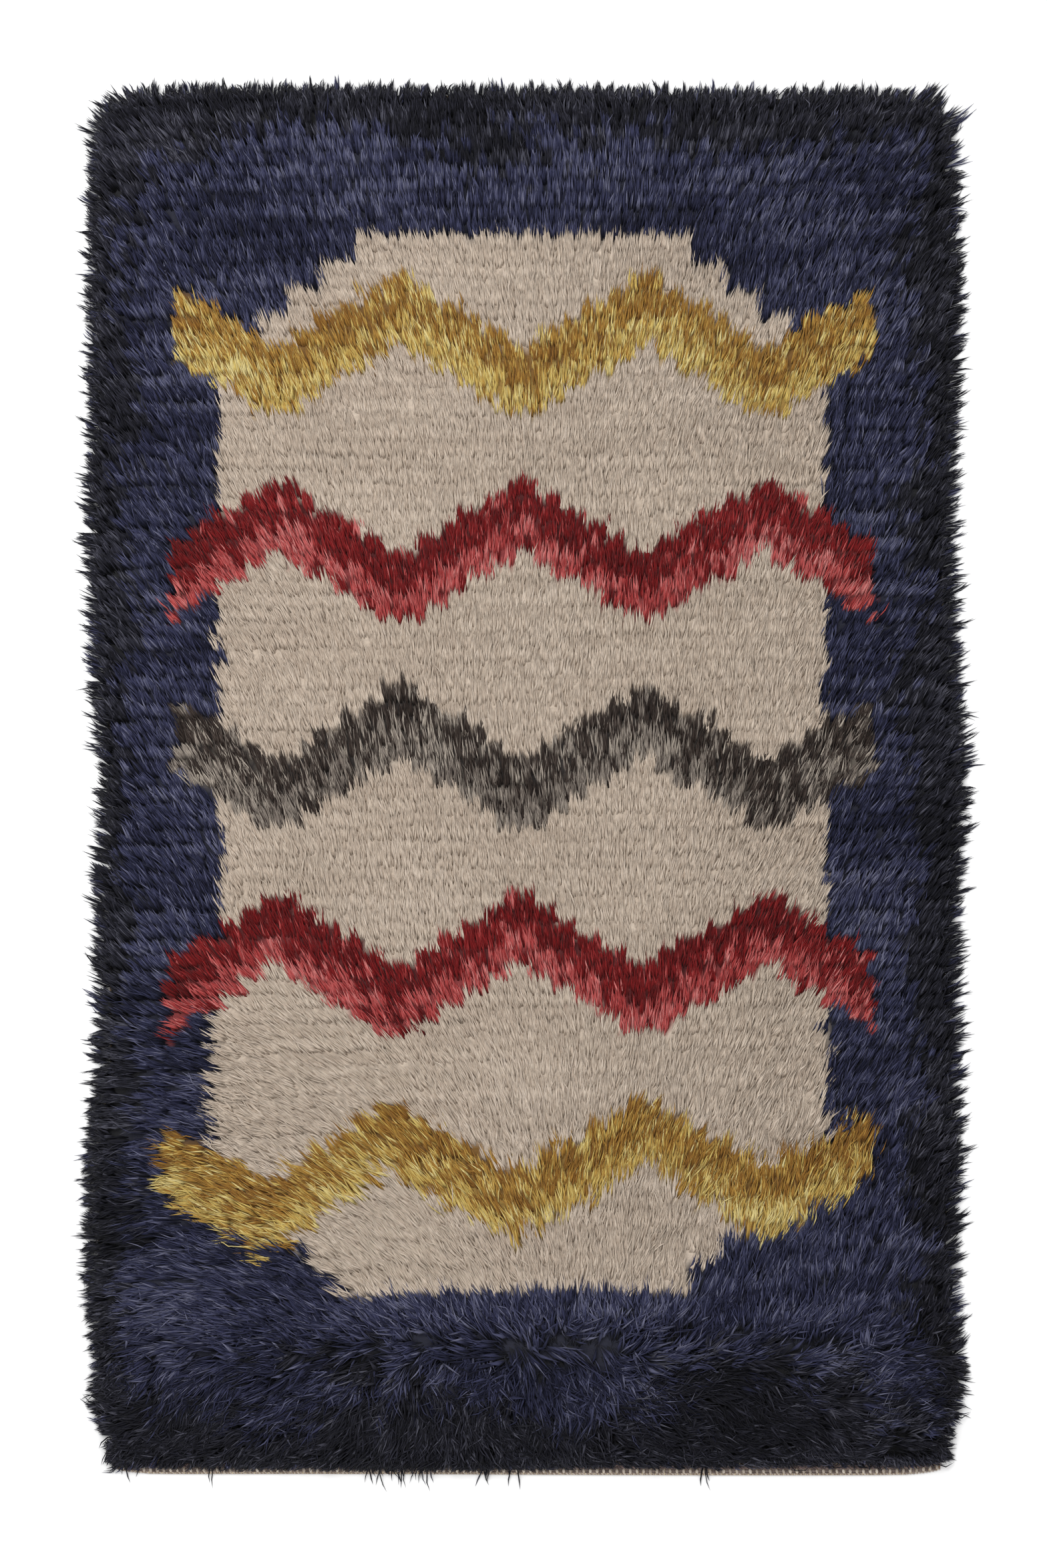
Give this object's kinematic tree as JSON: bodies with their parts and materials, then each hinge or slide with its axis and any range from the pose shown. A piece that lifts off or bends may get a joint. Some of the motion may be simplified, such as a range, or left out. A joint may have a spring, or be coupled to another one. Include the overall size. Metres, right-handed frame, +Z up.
{
  "type": "rug",
  "caption": "Rectangular hand-knotted wool rug with a long shaggy pile laid in rows, loose locks round its edges and a flat-woven end, lying flat and face up.",
  "frame": {"origin": "middle of the rug's footprint, on the floor under the ground weave", "axes": "+Z up out of the pile; +Y along the rug's length, the way most of the pile leans, away from the flat-woven end; +X across its width"},
  "size_m": [1.275, 1.989, 0.0322],
  "materials": {
    "ground_weave": "matt wool weft in plain weave over a cream warp",
    "pile_wool": "soft matt wool yarn with a faint sheen"
  },
  "bodies": {
    "root": {"ground_weave": "ground_weave", "pile": "pile_wool"}
  },
  "joints": []
}
